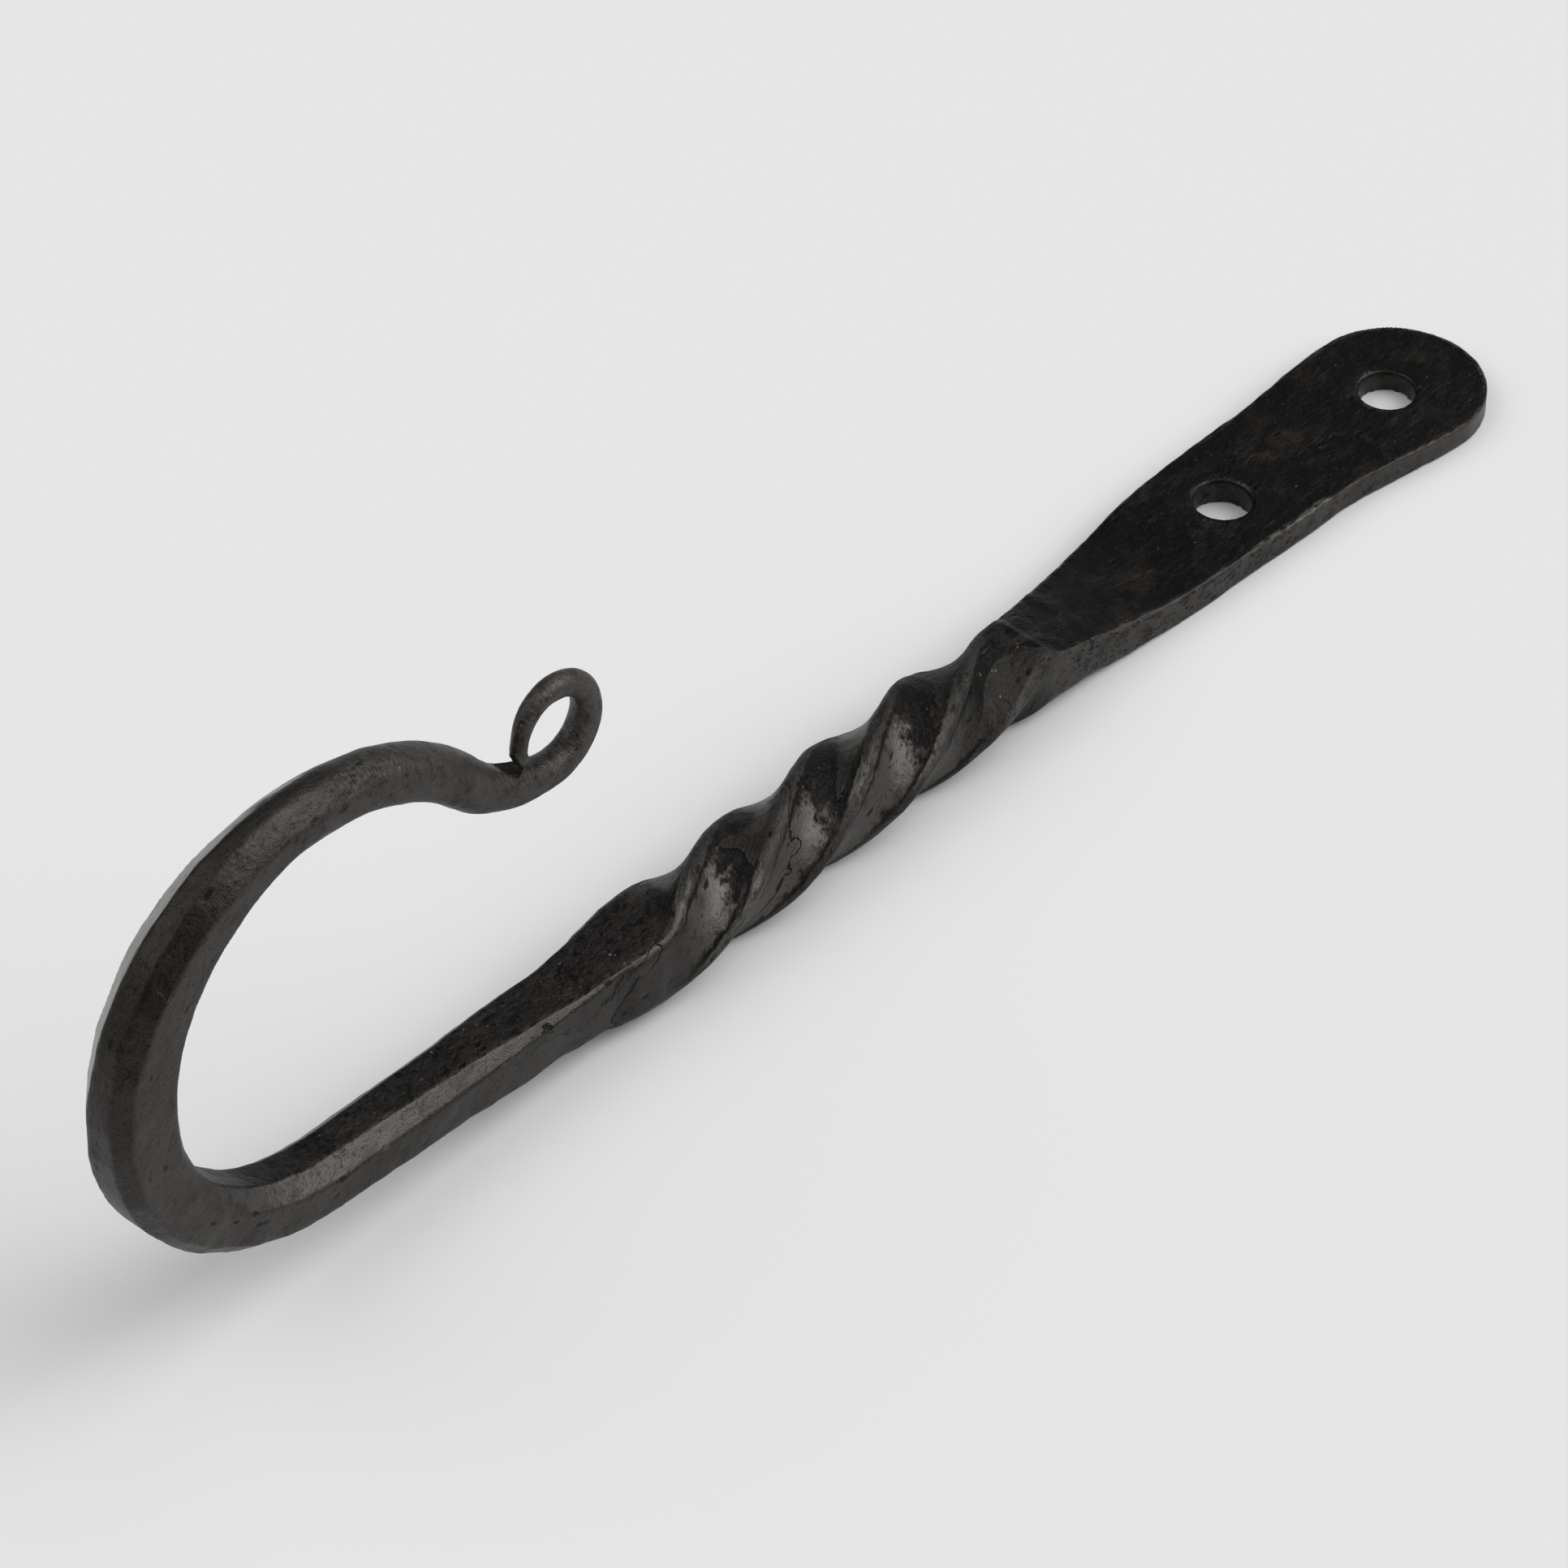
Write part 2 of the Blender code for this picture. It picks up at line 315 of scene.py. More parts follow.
forging = {
    "voxel": 0.000352,
    "crispness": 60,  # of the edges between the hammered flats
    "ridgeRound": 0.0015,
    "easePasses": 8,  # how wide an edge counts as a ridge
    "hollow": 0.00018,
    "hollowEase": 0.01,
    "toFacets": (-0.002, 0.009),  # both from the twist's end
    "toRound": (0.014, 0.006),  # from the back's end and from the crown's
    "tipReach": 0.0009,
    "tipAside": 0.0007,
    "tipLength": 0.006,
    # each corner's cut as a share of the side: back inner, front inner, front outer, back outer;
    # from the twist down the shank and round the hook
    "cornerCuts": [
        (0.10, 0.06, 0.12, 0.20, 0.24, 0.28, 0.29, 0.30, 0.36),
        (0.10, 0.10, 0.23, 0.31, 0.28, 0.20, 0.13, 0.14, 0.36),
        (0.10, 0.06, 0.10, 0.14, 0.18, 0.20, 0.21, 0.23, 0.36),
        (0.10, 0.06, 0.10, 0.18, 0.26, 0.32, 0.40, 0.48, 0.44),
    ],
    # how much fuller the outer far side of the hook is, at the same places
    "outerSwell": (0, 0, 0, 0, 0.0001, 0.0005, 0.0009, 0.0010, 0.0004),
    "waveSize": 0.010,
    "waveDepth": 0.00034,
    "skinSize": 0.0021,
    "skinDepth": 0.00013,
    "skinLevels": 10,
    "sideSkin": 0.25,  # share of the depth on the sides
    "shoulderSkin": 0.5,
    "hammerSeed": 11,
    "blowGap": (0.0058, 0.0090),  # distance between blows along one face
    "blowReach": 0.0065,
    "blowLimit": 0.0007,  # what stands higher than this belongs to another face
    "blowTilt": (0.010, 0.015),  # along the bar and across it
    "outerDepth": (0.00004, 0.00012),
    "sideDepth": (0.00001, 0.00005),
}


def smoothStep(value, low, high):
    share = np.clip((value - low) / (high - low), 0, 1)
    return share * share * (3 - 2 * share)


def onlyActive(thing):
    bpy.ops.object.select_all(action="DESELECT")
    thing.select_set(True)
    bpy.context.view_layer.objects.active = thing


def getPoints(thing):
    points = np.empty(len(thing.data.vertices) * 3, np.float32)
    thing.data.vertices.foreach_get("co", points)
    return points.reshape(-1, 3).astype(np.float64)


def setPoints(thing, points):
    thing.data.vertices.foreach_set("co", points.astype(np.float32).ravel())
    thing.data.update()


def startForging():
    cad = frame["nodes"]["forged_hook"]
    piece = bpy.data.objects.new("wroughtHook", cad.data.copy())
    bpy.context.scene.collection.objects.link(piece)
    piece.data.materials.clear()
    onlyActive(piece)
    bpy.ops.object.mode_set(mode="EDIT")
    bpy.ops.mesh.select_all(action="SELECT")
    bpy.ops.mesh.remove_doubles(threshold=0.00001)
    bpy.ops.object.mode_set(mode="OBJECT")
    remesh = piece.modifiers.new("evenSkin", "REMESH")
    remesh.mode = "VOXEL"
    remesh.voxel_size = forging["voxel"]
    remesh.use_smooth_shade = True
    bpy.ops.object.modifier_apply(modifier=remesh.name)
    return piece


def facetDepths(along, size):
    # how far each of the eight faces lies from the bar's middle: across, then every 45 degrees
    places = [twistEnd, liftEnd, 0.6 * liftEnd + 0.4 * shankEnd, shankEnd]
    places += [(shankEnd + heelEnd) / 2, heelEnd, (heelEnd + backEnd) / 2, backEnd, crownEnd]
    half = size / 2
    swell = np.interp(along, places, forging["outerSwell"])
    depths = []
    for face in range(8):
        turn = face * math.pi / 4
        extra = swell * (max(0, math.cos(turn)) + max(0, -math.sin(turn)))
        if face % 2 == 0:
            depths.append(half + extra)
        else:
            cut = np.interp(along, places, forging["cornerCuts"][face // 2])
            depths.append((2 - 2 * cut) * half / math.sqrt(2) + extra)
    return depths


plate = {
    "lobeX": 0.0160,
    "lobeRadius": 0.0107,
    "neckX": -0.0034,
    "neckHalf": 0.00895,
    "tipThick": 0.0028,
    "flatThick": 0.0039,
    "shoulderThick": 0.0058,
    "shoulderLength": 0.025,
    "stepLength": 0.008,
    "sway": 0.0017,
    "crispFrom": 0.014,  # from the twist towards the round end
    "crispFull": 0.026,
    # the drawn-down shoulder
    "shoulderHeight": 0.0088,
    "drawnLength": 0.022,
    "drawnCurve": 1.4,
    "shoulderRamp": ((-0.016, -0.003, 0.022, 0.0221), (0, 1, 1, 0)),  # places from the twist, and shares
    "planishWidth": 0.86,  # as a share of the plate's own
    "planishStart": 0.001,
    "planishPasses": 60,
}


def plateOutline(x):
    # the middle, half the width, the back and the front of the plate at each place along it
    run = x - bar["twistX"]
    roundEnd = np.sqrt(np.maximum(plate["lobeRadius"] ** 2 - (x - plate["lobeX"]) ** 2, 1e-9))
    widening = smoothStep(x, plate["neckX"], plate["lobeX"])
    flare = plate["neckHalf"] + (plate["lobeRadius"] - plate["neckHalf"]) * widening
    taper = bar["side"] / 2 + (plate["neckHalf"] - bar["side"] / 2) * np.sin(
        np.clip(run / (plate["neckX"] - bar["twistX"]), 0, 1) * math.pi / 2
    )
    halfWidth = np.where(x >= plate["neckX"], flare, taper)
    halfWidth = np.where(x >= plate["lobeX"], roundEnd, halfWidth)
    end = bar["tipX"] - bar["twistX"] - plate["shoulderLength"]
    flat = plate["tipThick"] + (plate["flatThick"] - plate["tipThick"]) * (bar["tipX"] - x) / end
    thick = flat + (plate["shoulderThick"] - flat) * (1 - smoothStep(run, 0, plate["shoulderLength"]))
    thick = thick + (bar["side"] - thick) * (1 - smoothStep(run, 0, plate["stepLength"]))
    back = (bar["barMiddle"] - bar["side"] / 2) * (1 - smoothStep(run, 0, plate["shoulderLength"] / 2))
    middle = plate["sway"] * np.sin(math.pi * np.minimum(1, run / (plate["lobeX"] - bar["twistX"])))
    return middle, halfWidth, back, back + thick


def drawOutBar(points, place):
    # the swept solid's flats and corners are drawn out evenly along the bar
    along, half = place["along"], place["size"] / 2
    angle = np.arctan2(place["v"], place["u"])
    reach = np.hypot(place["u"], place["v"])
    pull = np.zeros(len(points))
    for face, depth in enumerate(facetDepths(along, place["size"])):
        lean = np.maximum(np.cos(angle - face * math.pi / 4), 0)
        pull += (lean / depth) ** forging["crispness"]
    facets = pull ** (-1 / forging["crispness"])
    # the twisted stretch is square with round corners and slightly hollow faces
    spread = np.abs(np.cos(angle)) + np.abs(np.sin(angle))
    flat = half / np.maximum(np.abs(np.cos(angle)), np.abs(np.sin(angle)))
    corner = forging["ridgeRound"]
    inside = ((half - corner) * spread) ** 2 - 2 * (half - corner) ** 2 + corner**2
    rounded = np.where(
        np.minimum(np.abs(np.cos(angle)), np.abs(np.sin(angle))) * flat > half - corner,
        (half - corner) * spread + np.sqrt(np.maximum(inside, 0)),
        flat,
    )
    ease = forging["hollowEase"]
    hollow = np.cos(2 * angle) ** 2 * forging["hollow"] * smoothStep(along, twistStart, twistStart + ease)
    rounded -= hollow * (1 - smoothStep(along, twistEnd - ease, twistEnd))
    # the square turns into facets at the shank, and the facets into round at the crown
    toShank = smoothStep(along, twistEnd + forging["toFacets"][0], twistEnd + forging["toFacets"][1])
    toRound = smoothStep(along, backEnd + forging["toRound"][0], crownEnd + forging["toRound"][1])
    wanted = (rounded * (1 - toShank) + facets * toShank) * (1 - toRound) + half * toRound
    share = smoothStep(along, twistStart - 0.001, twistStart + 0.003) * (along < eyeEnd - 0.0008)
    change = share * (wanted / np.maximum(reach, 1e-6) - 1)
    offset = place["across"] * place["u"][:, None] + place["outward"] * place["v"][:, None]
    points += offset * change[:, None]


def crispOutline(points):
    # the plate's outline keeps a crisp arris
    flatPlate = points[:, 0] > bar["twistX"] + plate["crispFrom"]
    x, y, z = points[flatPlate].T
    middle, halfWidth, low, top = plateOutline(x)
    halfThick, level = (top - low) / 2, (top + low) / 2
    beyond = x > plate["lobeX"]
    fromLobe = np.hypot(x - plate["lobeX"], y - middle) / plate["lobeRadius"]
    aside = np.where(beyond, fromLobe, np.abs(y - middle) / halfWidth)
    v = np.abs(z - level) / halfThick
    grow = np.where((aside > 0.9) & (v > 0.3), (aside**30 + v**30) ** (-1 / 30), 1.0)
    crisp = smoothStep(x, bar["twistX"] + plate["crispFrom"], bar["twistX"] + plate["crispFull"])
    grow = 1 + (np.clip(grow, 0.95, 1.08) - 1) * crisp
    points[flatPlate, 0] = np.where(beyond, plate["lobeX"] + (x - plate["lobeX"]) * grow, x)
    points[flatPlate, 1] = middle + (y - middle) * grow
    points[flatPlate, 2] = level + (z - level) * grow


def drawDownShoulder(points):
    # the plate's face runs into the twist without a step
    run = points[:, 0] - bar["twistX"]
    ramp = np.interp(run, *plate["shoulderRamp"])
    top = plateOutline(np.maximum(points[:, 0], bar["twistX"]))[3]
    topEnd = plateOutline(np.array([bar["twistX"] + plate["drawnLength"]]))[3]
    rise = np.clip(1 - run / plate["drawnLength"], 0, 1) ** plate["drawnCurve"]
    drawn = topEnd + (plate["shoulderHeight"] - topEnd) * rise
    barTop = bar["barMiddle"] + bar["side"] / 2
    squeeze = np.where(run > 0, drawn / top, plate["shoulderHeight"] / barTop)
    points[:, 2] *= 1 + (squeeze - 1) * ramp


def closeEye(points, place):
    # the eye's tip reaches for the stem
    tip = smoothStep(place["along"], eyeEnd - forging["tipLength"], eyeEnd)[:, None]
    points += tip * (place["tangent"] * forging["tipReach"] + np.array([0, -forging["tipAside"], 0]))


def trueSection(piece, nearest):
    points = getPoints(piece)
    place = barFrame(points, nearest)
    drawOutBar(points, place)
    crispOutline(points)
    drawDownShoulder(points)
    closeEye(points, place)
    setPoints(piece, points)


def hammer(piece, nearest):
    # each blow flattens what stands above its own plane
    points = getPoints(piece)
    place = barFrame(points, nearest)
    dice = random.Random(forging["hammerSeed"])
    reach = forging["blowReach"]
    tiltAlong, tiltAcross = forging["blowTilt"]
    blows = 0
    for face in range(8):
        turn = face * math.pi / 4
        inner = math.sin(turn)
        if inner > 0.3:
            continue
        depths = forging["outerDepth"] if inner < -0.3 else forging["sideDepth"]
        along = liftEnd + dice.uniform(0, 0.006)
        while along < crownEnd + 0.004:
            station = stations[np.searchsorted(stations[:, 0], along)]
            heading = station[3]
            tangent = np.array([math.cos(heading), 0, math.sin(heading)])
            outward = np.array([math.sin(heading), 0, -math.cos(heading)])
            across = np.array([0.0, 1.0, 0.0])
            normal = across * math.cos(turn) + outward * math.sin(turn)
            sideways = outward * math.cos(turn) - across * math.sin(turn)
            flat = facetDepths(np.array([along]), station[5])[face]
            flat = float(np.ravel(flat)[0])
            depth = dice.uniform(*depths)
            normal = normal + tangent * dice.gauss(0, tiltAlong) + sideways * dice.gauss(0, tiltAcross)
            normal = normal / np.linalg.norm(normal)
            middle = np.array([station[1], 0, station[2]]) + normal * (flat - depth)
            near = np.abs(place["along"] - along)
            fade = np.clip((reach * 1.4 - near) / (reach * 0.4), 0, 1)
            height = (points - middle) @ normal
            height = np.where(height > forging["blowLimit"], 0, np.maximum(height, 0)) * fade
            points -= height[:, None] * normal
            blows += 1
            along += dice.uniform(*forging["blowGap"])
    setPoints(piece, points)
    print("hammered:", blows, "blows")


def displace(piece, name, size, depth, group=None):
    cloud = bpy.data.textures.new(name, "CLOUDS")
    cloud.noise_scale = size
    cloud.noise_depth = 2
    push = piece.modifiers.new(name, "DISPLACE")
    push.texture = cloud
    push.texture_coords = "LOCAL"
    push.strength = depth
    push.mid_level = 0.5
    if group:
        push.vertex_group = group
    bpy.ops.object.modifier_apply(modifier=push.name)


def roughSkin(piece, nearest):
    # rougher on the top of the shank and at the plate's shoulder, finer on the sides
    place = barFrame(getPoints(piece), nearest)
    along = place["along"]
    upper = np.clip((place["v"] / np.maximum(np.abs(place["u"]) + np.abs(place["v"]), 1e-6)) * 2, 0, 1)
    fine, levels = forging["sideSkin"], forging["skinLevels"]
    rough = fine + (1 - fine) * upper * (along > twistEnd - 0.006) * (along < shankEnd + 0.01)
    shoulder = np.exp(-(((along - twistStart - 0.002) / 0.006) ** 2))
    rough = np.clip(rough + shoulder * forging["shoulderSkin"], 0, 1)
    group = piece.vertex_groups.new(name="roughSkin")
    for level in range(1, levels + 1):
        chosen = np.nonzero(np.round(rough * levels) == level)[0].tolist()
        if chosen:
            group.add(chosen, level / levels, "REPLACE")
    displace(piece, "forgingWave", forging["waveSize"], forging["waveDepth"])
    displace(piece, "rawSkin", forging["skinSize"], forging["skinDepth"], group.name)


def easeShoulder(piece):
    # the top of the shoulder is planished smooth
    points = getPoints(piece)
    run = points[:, 0] - bar["twistX"]
    middle, halfWidth, low, top = plateOutline(np.maximum(points[:, 0], bar["twistX"]))
    inside = np.abs(points[:, 1] - middle) < halfWidth * plate["planishWidth"]
    inside = inside & (points[:, 2] > (low + top) / 2)
    inside = inside & (run > plate["planishStart"]) & (run < plate["drawnLength"])
    group = piece.vertex_groups.new(name="shoulderTop")
    group.add(np.nonzero(inside)[0].tolist(), 1.0, "REPLACE")
    ease = piece.modifiers.new("planish", "SMOOTH")
    ease.factor = 0.5
    ease.iterations = plate["planishPasses"]
    ease.vertex_group = group.name
    bpy.ops.object.modifier_apply(modifier=ease.name)


def settle(piece):
    # nothing passes through the wall that the plate lies on
    points = getPoints(piece)
    points[:, 2] = np.maximum(points[:, 2], boxLow.z)
    setPoints(piece, points)


def keepPlaces(piece, nearest):
    # the bar's own coordinates in millimetres, each face's direction, and how sharp each edge is
    points = getPoints(piece)
    place = barFrame(points, nearest)
    count = len(points)
    edges = np.empty(len(piece.data.edges) * 2, np.int32)
    piece.data.edges.foreach_get("vertices", edges)
    edges = edges.reshape(-1, 2)
    degree = np.bincount(edges.ravel(), minlength=count)[:, None]
    eased = points.copy()
    for step in range(forging["easePasses"]):
        total = np.empty_like(eased)
        for axis in range(3):
            total[:, axis] = np.bincount(edges[:, 0], eased[edges[:, 1], axis], count)
            total[:, axis] += np.bincount(edges[:, 1], eased[edges[:, 0], axis], count)
        eased = total / np.maximum(degree, 1)
    normals = np.empty(count * 3, np.float32)
    piece.data.vertices.foreach_get("normal", normals)
    normals = normals.reshape(-1, 3)
    ridge = ((points - eased) * normals).sum(1) * 1000
    spot = np.stack([place["along"], place["u"], place["v"]], 1) * 1000
    lay = np.stack(
        [
            (normals * place["tangent"]).sum(1),
            (normals * place["across"]).sum(1),
            (normals * place["outward"]).sum(1),
        ],
        1,
    )
    # zero along the edge between the front side and the cut inside it
    depths = facetDepths(place["along"], place["size"])
    chamfer = (place["v"] - place["u"]) / math.sqrt(2) - depths[3]
    arris = (chamfer - (-place["u"] - depths[4])) * 1000
    for name, kind, values in (
        ("arris", "FLOAT", arris),
        ("flank", "FLOAT", np.abs(normals[:, 1])),
        ("spot", "FLOAT_VECTOR", spot),
        ("lay", "FLOAT_VECTOR", lay),
        ("ridge", "FLOAT", ridge),
    ):
        layer = piece.data.attributes.new(name, kind, "POINT")
        field = "vector" if kind == "FLOAT_VECTOR" else "value"
        layer.data.foreach_set(field, values.astype(np.float32).ravel())


hook = startForging()
nearest = nearestStation(getPoints(hook))
print("even skin:", len(hook.data.polygons), "faces")
trueSection(hook, nearest)
easeShoulder(hook)
hammer(hook, nearest)
roughSkin(hook, nearest)
settle(hook)
keepPlaces(hook, nearest)
print("forging finished:", len(hook.data.vertices), "points")


# Blackened iron

iron = {
    # the darkest grey is painted shade, on the top faces and in the twist's hollows
    "shadeBlack": (0.0045, 0.0042, 0.0039, 1),
    "brown": (0.034, 0.0285, 0.0245, 1),
    "side": (0.0350, 0.0325, 0.0305, 1),
    # the smooth grey is smooth scale and dust, and also painted sheen on faces that turn sideways or
    # outwards
    "smooth": (0.085, 0.080, 0.074, 1),
    # the worn grey is wear on ridges and rims, and also paints glints on the coarse skin
    "worn": (0.17, 0.165, 0.155, 1),
    # the rubbed grey is a painted highlight on the hook's back outer cut
    "highlightGrey": (0.20, 0.19, 0.175, 1),
    "bright": (0.55, 0.54, 0.52, 1),
    "pit": (0.0035, 0.003, 0.0028, 1),
    "metallic": 0.9,
    "roughness": 0.38,
}


def blackenedIron():
    material = bpy.data.materials.new("blackenedIron")
    material.use_nodes = True
    tree = material.node_tree
    shader = tree.nodes["Principled BSDF"]
    bench = Wire(tree)
    spot = bench.node("ShaderNodeAttribute", {"attribute_name": "spot"}, out="Vector")
    lay = bench.node("ShaderNodeAttribute", {"attribute_name": "lay"}, out="Vector")
    ridge = bench.node("ShaderNodeAttribute", {"attribute_name": "ridge"}, out="Fac")
    arris = bench.node("ShaderNodeAttribute", {"attribute_name": "arris"}, out="Fac")
    flank = bench.node("ShaderNodeAttribute", {"attribute_name": "flank"}, out="Fac")
    layParts = bench.node("ShaderNodeSeparateXYZ", {}, {"Vector": lay})
    layAcross = Wire(tree, layParts.socket.node.outputs["Y"])
    layOut = Wire(tree, layParts.socket.node.outputs["Z"])
    spotParts = bench.node("ShaderNodeSeparateXYZ", {}, {"Vector": spot})
    along = Wire(tree, spotParts.socket.node.outputs["X"])

    def scaled(size, stretch, shift):
        return bench.node(
            "ShaderNodeVectorMath",
            {"operation": "MULTIPLY_ADD"},
            {0: spot, 1: [part / size for part in stretch], 2: (shift, shift * 1.7, shift * 0.6)},
        )

    def noise(size, detail=3.0, rough=0.55, stretch=(1, 1, 1), warp=0.0, shift=0.0):
        return bench.node(
            "ShaderNodeTexNoise",
            {"noise_dimensions": "3D"},
            {
                "Vector": scaled(size, stretch, shift),
                "Scale": 1.0,
                "Detail": detail,
                "Roughness": rough,
                "Distortion": warp,
            },
        )

    def mix(factor, first, second):
        return bench.node("ShaderNodeMix", {"data_type": "RGBA"}, {0: factor, 6: first, 7: second}, out=2)

    def absolute(wire):
        return bench.math("ABSOLUTE", wire)

    def between(low, high, edge):  # 1 on a stretch of the bar, in millimetres along it
        return along.fade(low - edge, low + edge) * (1 - along.fade(high - edge, high + edge))

    def dots(gap, reach, shift, stretch=(1, 1, 1)):  # small spots, 1 at their middle
        away = bench.node(
            "ShaderNodeTexVoronoi",
            {"feature": "F1"},
            {"Vector": scaled(gap, stretch, shift), "Scale": 1.0},
            out="Distance",
        )
        return 1 - away.fade(reach * 0.4, reach)

    # stretches of the bar
    onPlate = 1 - along.fade(50, 66)
    shoulder = between(79, 92, 4)
    twisted = between(81, 139, 3)
    shank = between(136, 200, 6)
    hooked = between(shankEnd * 1000, crownEnd * 1000 + 4, 8)
    stem = along.fade(crownEnd * 1000 - 6, crownEnd * 1000 + 8)

    # the top face keeps its own skin, runs round with the twist, and is painted darker as shade
    topFace = layOut.fade(0.76, 0.90)

    # marks of every size, which is given first, in millimetres
    broad = noise(11.0, detail=2.0, rough=0.5, stretch=(0.6, 1, 1))
    mottle = noise(3.6, detail=4.0, rough=0.62, stretch=(0.7, 1, 1), warp=0.5, shift=4.0)
    rust = noise(5.5, detail=4.0, rough=0.66, stretch=(0.8, 1, 1), warp=0.3, shift=17.0)
    crumb = noise(1.25, detail=3.0, rough=0.6, stretch=(0.8, 1, 1), warp=0.4, shift=8.0)
    grain = noise(0.50, detail=3.0, rough=0.7, shift=2.0)
    dust = noise(0.22, detail=1.0, rough=0.6, shift=6.0)
    fibre = noise(0.45, detail=3.0, rough=0.7, stretch=(0.16, 1, 1), warp=0.6, shift=81.0)
    wrinkle = noise(0.62, detail=2.0, rough=0.55, stretch=(2.2, 0.30, 0.30), warp=0.3, shift=5.0)

    # forging scale, and the outlines where it has flaked
    field = noise(8.5, detail=5.0, rough=0.56, stretch=(0.55, 1, 1), warp=0.7, shift=31.0)
    flaked = field.fade(0.552, 0.562)
    crack = 1 - absolute(field - 0.556).fade(0.003, 0.013)
    crackPlace = noise(15.0, detail=1.0, rough=0.5, shift=12.0).fade(0.42, 0.50) * between(70, 165, 6)
    crack = crack * crackPlace

    pitted = noise(5.0, detail=2.0, rough=0.6, shift=21.0).fade(0.46, 0.60)
    pits = dots(1.05, reach=0.36, shift=3.0, stretch=(0.6, 1, 1)) * pitted
    bigPitted = noise(9.0, detail=1.0, rough=0.5, shift=41.0).fade(0.50, 0.60)
    bigPits = dots(2.1, reach=0.20, shift=9.0, stretch=(0.5, 1, 1)) * bigPitted
    glinting = noise(1.9, detail=2.0, rough=0.6, shift=51.0).fade(0.56, 0.68)
    sparkle = dots(0.85, reach=0.26, shift=5.0) * glinting

    # wear along the ridges and the arrises; painted sheen on the twist's side-turned faces, and a painted
    # highlight on the hook's back outer cut
    scuff = noise(0.9, detail=3.0, rough=0.65, stretch=(0.45, 1, 1), shift=61.0)
    patch = noise(7.0, detail=2.0, rough=0.6, stretch=(0.5, 1, 1), shift=71.0)
    outerCut = layAcross.fade(0.45, 0.62) * (0 - layOut).fade(0.45, 0.62) * hooked
    high = (ridge + (scuff - 0.5) * 0.07).fade(0.055, 0.100) * twisted
    thin = 1 - absolute(arris + (scuff - 0.5) * 0.16).fade(0.02, 0.09)
    rim = (ridge + (scuff - 0.5) * 0.07).fade(0.090, 0.130) * onPlate
    worn = (high * 0.9 + rim * 0.6) * patch.fade(0.48, 0.62) * scuff.fade(0.42, 0.55) * 0.8
    bright = thin * between(168, 186, 6) * patch.fade(0.48, 0.56) * scuff.fade(0.44, 0.56)
    hollowed = 1 - (ridge + (scuff - 0.5) * 0.03).fade(-0.01, 0.03)
    # painted sheen with patches of smooth scale: the twist's hollow faces are lighter where they turn
    # sideways
    facing = flank + (field - 0.5) * 1.4 + (crumb - 0.5) * 0.5 + (grain - 0.5) * 0.3
    bareAndSheen = twisted * along.fade(89, 97) * hollowed * facing.fade(0.36, 0.60)

    # how coarse the skin is, 0 to 1
    coarse = topFace * (shank * 0.95 + hooked * 0.30) + shoulder * 0.75
    coarse = coarse + topFace * onPlate * 0.35 + twisted * (1 - bareAndSheen) * 0.75 + stem * 0.42
    coarse = coarse + hooked * 0.16 + absolute(layAcross).fade(0.8, 0.95) * between(18, 76, 6) * 0.7
    coarse = coarse.clamp()

    # painted shade: the top faces, and the twist away from its ridges and side-turned faces, are darkened
    shadeEnd = 1 - (along + (field - 0.5) * 26).fade(79.4, 80.0) * (1 - along.fade(110, 130))
    paintedShade = topFace * (1 - twisted) * (1 - stem) * (1 - shank * 0.45) * shadeEnd
    paintedShade = paintedShade + twisted * (1 - bareAndSheen) * (1 - high) * 0.9
    skin = mix(paintedShade.clamp(), iron["side"], iron["shadeBlack"])
    # painted sheen on the twist's side-turned faces, with smooth scale
    skin = mix(bareAndSheen * (0.5 + broad), skin, iron["smooth"])
    plateSide = absolute(layAcross).fade(0.7, 0.9) * (1 - along.fade(76, 84))
    curl = along.fade(stemEnd * 1000 - 4, stemEnd * 1000 + 6)
    # painted light: the plate's side walls are lighter, as lit sides, with grain through them
    skin = mix(plateSide * (0.25 + grain * 0.5), skin, iron["smooth"])
    # painted light: the outward cut faces of the hook and the shank are lighter, as lit faces; the stem
    # and the eye are a lighter smooth grey
    chamfer = (hooked + shank * 0.4) * (1 - topFace) * layOut.fade(0.45, 0.65) * 0.8
    skin = mix(stem * 0.45 + curl * 0.4 + chamfer, skin, iron["smooth"])
    # painted light: the hook's side faces are lighter, as lit sides
    skin = mix(hooked * absolute(layAcross).fade(0.75, 0.92) * 0.3, skin, iron["smooth"])
    skin = mix(mottle.fade(0.50, 0.66) * 0.55 * (coarse + 0.25), skin, iron["brown"])
    skin = mix(rust.fade(0.52, 0.66) * (0.35 + crumb * 0.5) * (1 - twisted * 0.75), skin, iron["brown"])
    skin = mix((1 - crumb.fade(0.34, 0.52)) * coarse, skin, iron["pit"])
    skin = mix(flaked * (0.02 + 0.28 * twisted + 0.12 * shank), skin, iron["smooth"])
    skin = mix(fibre.fade(0.55, 0.72) * topFace * (onPlate + shank * 0.6) * 0.8, skin, iron["brown"])
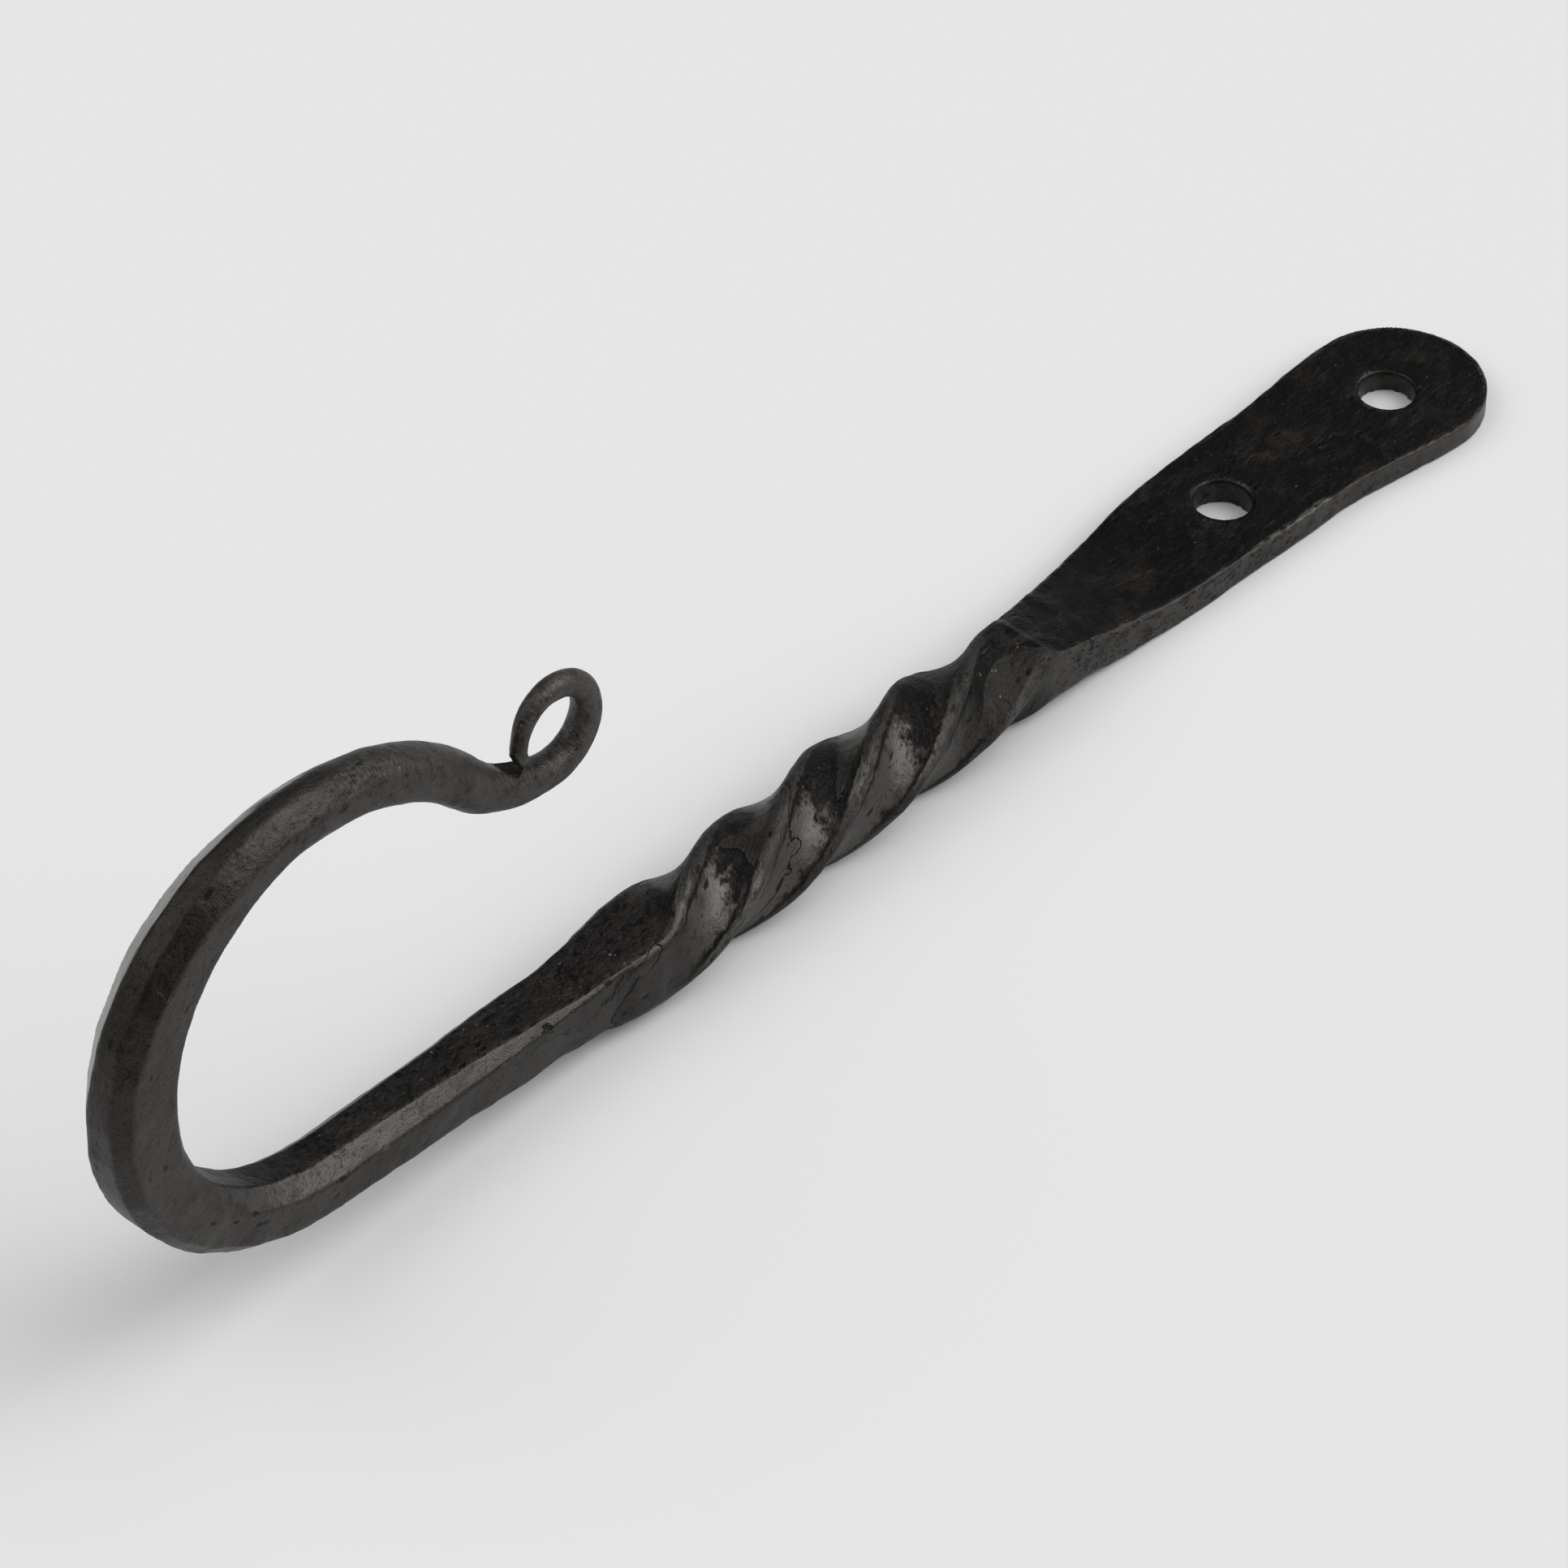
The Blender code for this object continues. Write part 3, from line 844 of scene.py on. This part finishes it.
    skin = mix(high * 0.2, skin, iron["smooth"])
    sidePits = dots(0.75, reach=0.40, shift=14.0, stretch=(0.55, 1, 1)) * plateSide
    sidePits = sidePits * along.fade(24, 40) * crumb.fade(0.42, 0.5)
    skin = mix((pits * (0.25 + coarse) + bigPits + sidePits).clamp() * 0.85, skin, iron["pit"])
    skin = mix(dust.fade(0.52, 0.70) * 0.22 * (1 - topFace * onPlate * 0.7), skin, iron["smooth"])
    speckle = grain.fade(0.52, 0.70) * (0.18 + 0.3 * coarse) * (1 - topFace * onPlate * 0.5)
    skin = mix(speckle, skin, iron["brown"])
    skin = mix((1 - grain.fade(0.32, 0.48)) * 0.55, skin, iron["pit"])
    skin = mix(crack * 0.9, skin, iron["pit"])
    # painted glints: bright specks on the coarse skin
    skin = mix(sparkle * coarse * 0.8, skin, iron["worn"])
    # painted highlight on the hook's back outer cut
    skin = mix(outerCut * (0.45 + grain * 0.6), skin, iron["highlightGrey"])
    skin = mix(worn * 0.55, skin, iron["worn"])
    skin = mix(bright * 0.9, skin, iron["bright"])

    rough = iron["roughness"] + 0.16 * coarse + (mottle - 0.5) * 0.22 + (grain - 0.5) * 0.18
    rough = (rough + twisted * 0.05 - outerCut * 0.10).clamp()

    # heights in millimetres
    height = (mottle - 0.5) * (0.04 + 0.22 * coarse)
    height = height + (crumb - 0.5) * (0.03 + 0.34 * coarse)
    height = height + (grain - 0.5) * (0.055 + 0.11 * coarse) + (dust - 0.5) * 0.03
    height = height + (wrinkle - 0.5) * (stem * 0.14 + shoulder * 0.08)
    height = height - pits * (0.02 + 0.07 * coarse) - bigPits * 0.08 - sidePits * 0.12
    height = height - flaked * 0.05 - crack * 0.10
    bump = bench.node(
        "ShaderNodeBump", {}, {"Strength": 1.0, "Distance": 0.001, "Height": height}, out="Normal"
    )
    for name, wire in (("Base Color", skin), ("Roughness", rough), ("Normal", bump)):
        tree.links.new(wire.socket, shader.inputs[name])
    shader.inputs["Metallic"].default_value = iron["metallic"]
    return material


hook.data.materials.append(blackenedIron())
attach(hook, "root")
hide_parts("forged_hook")
print("blackened iron applied")
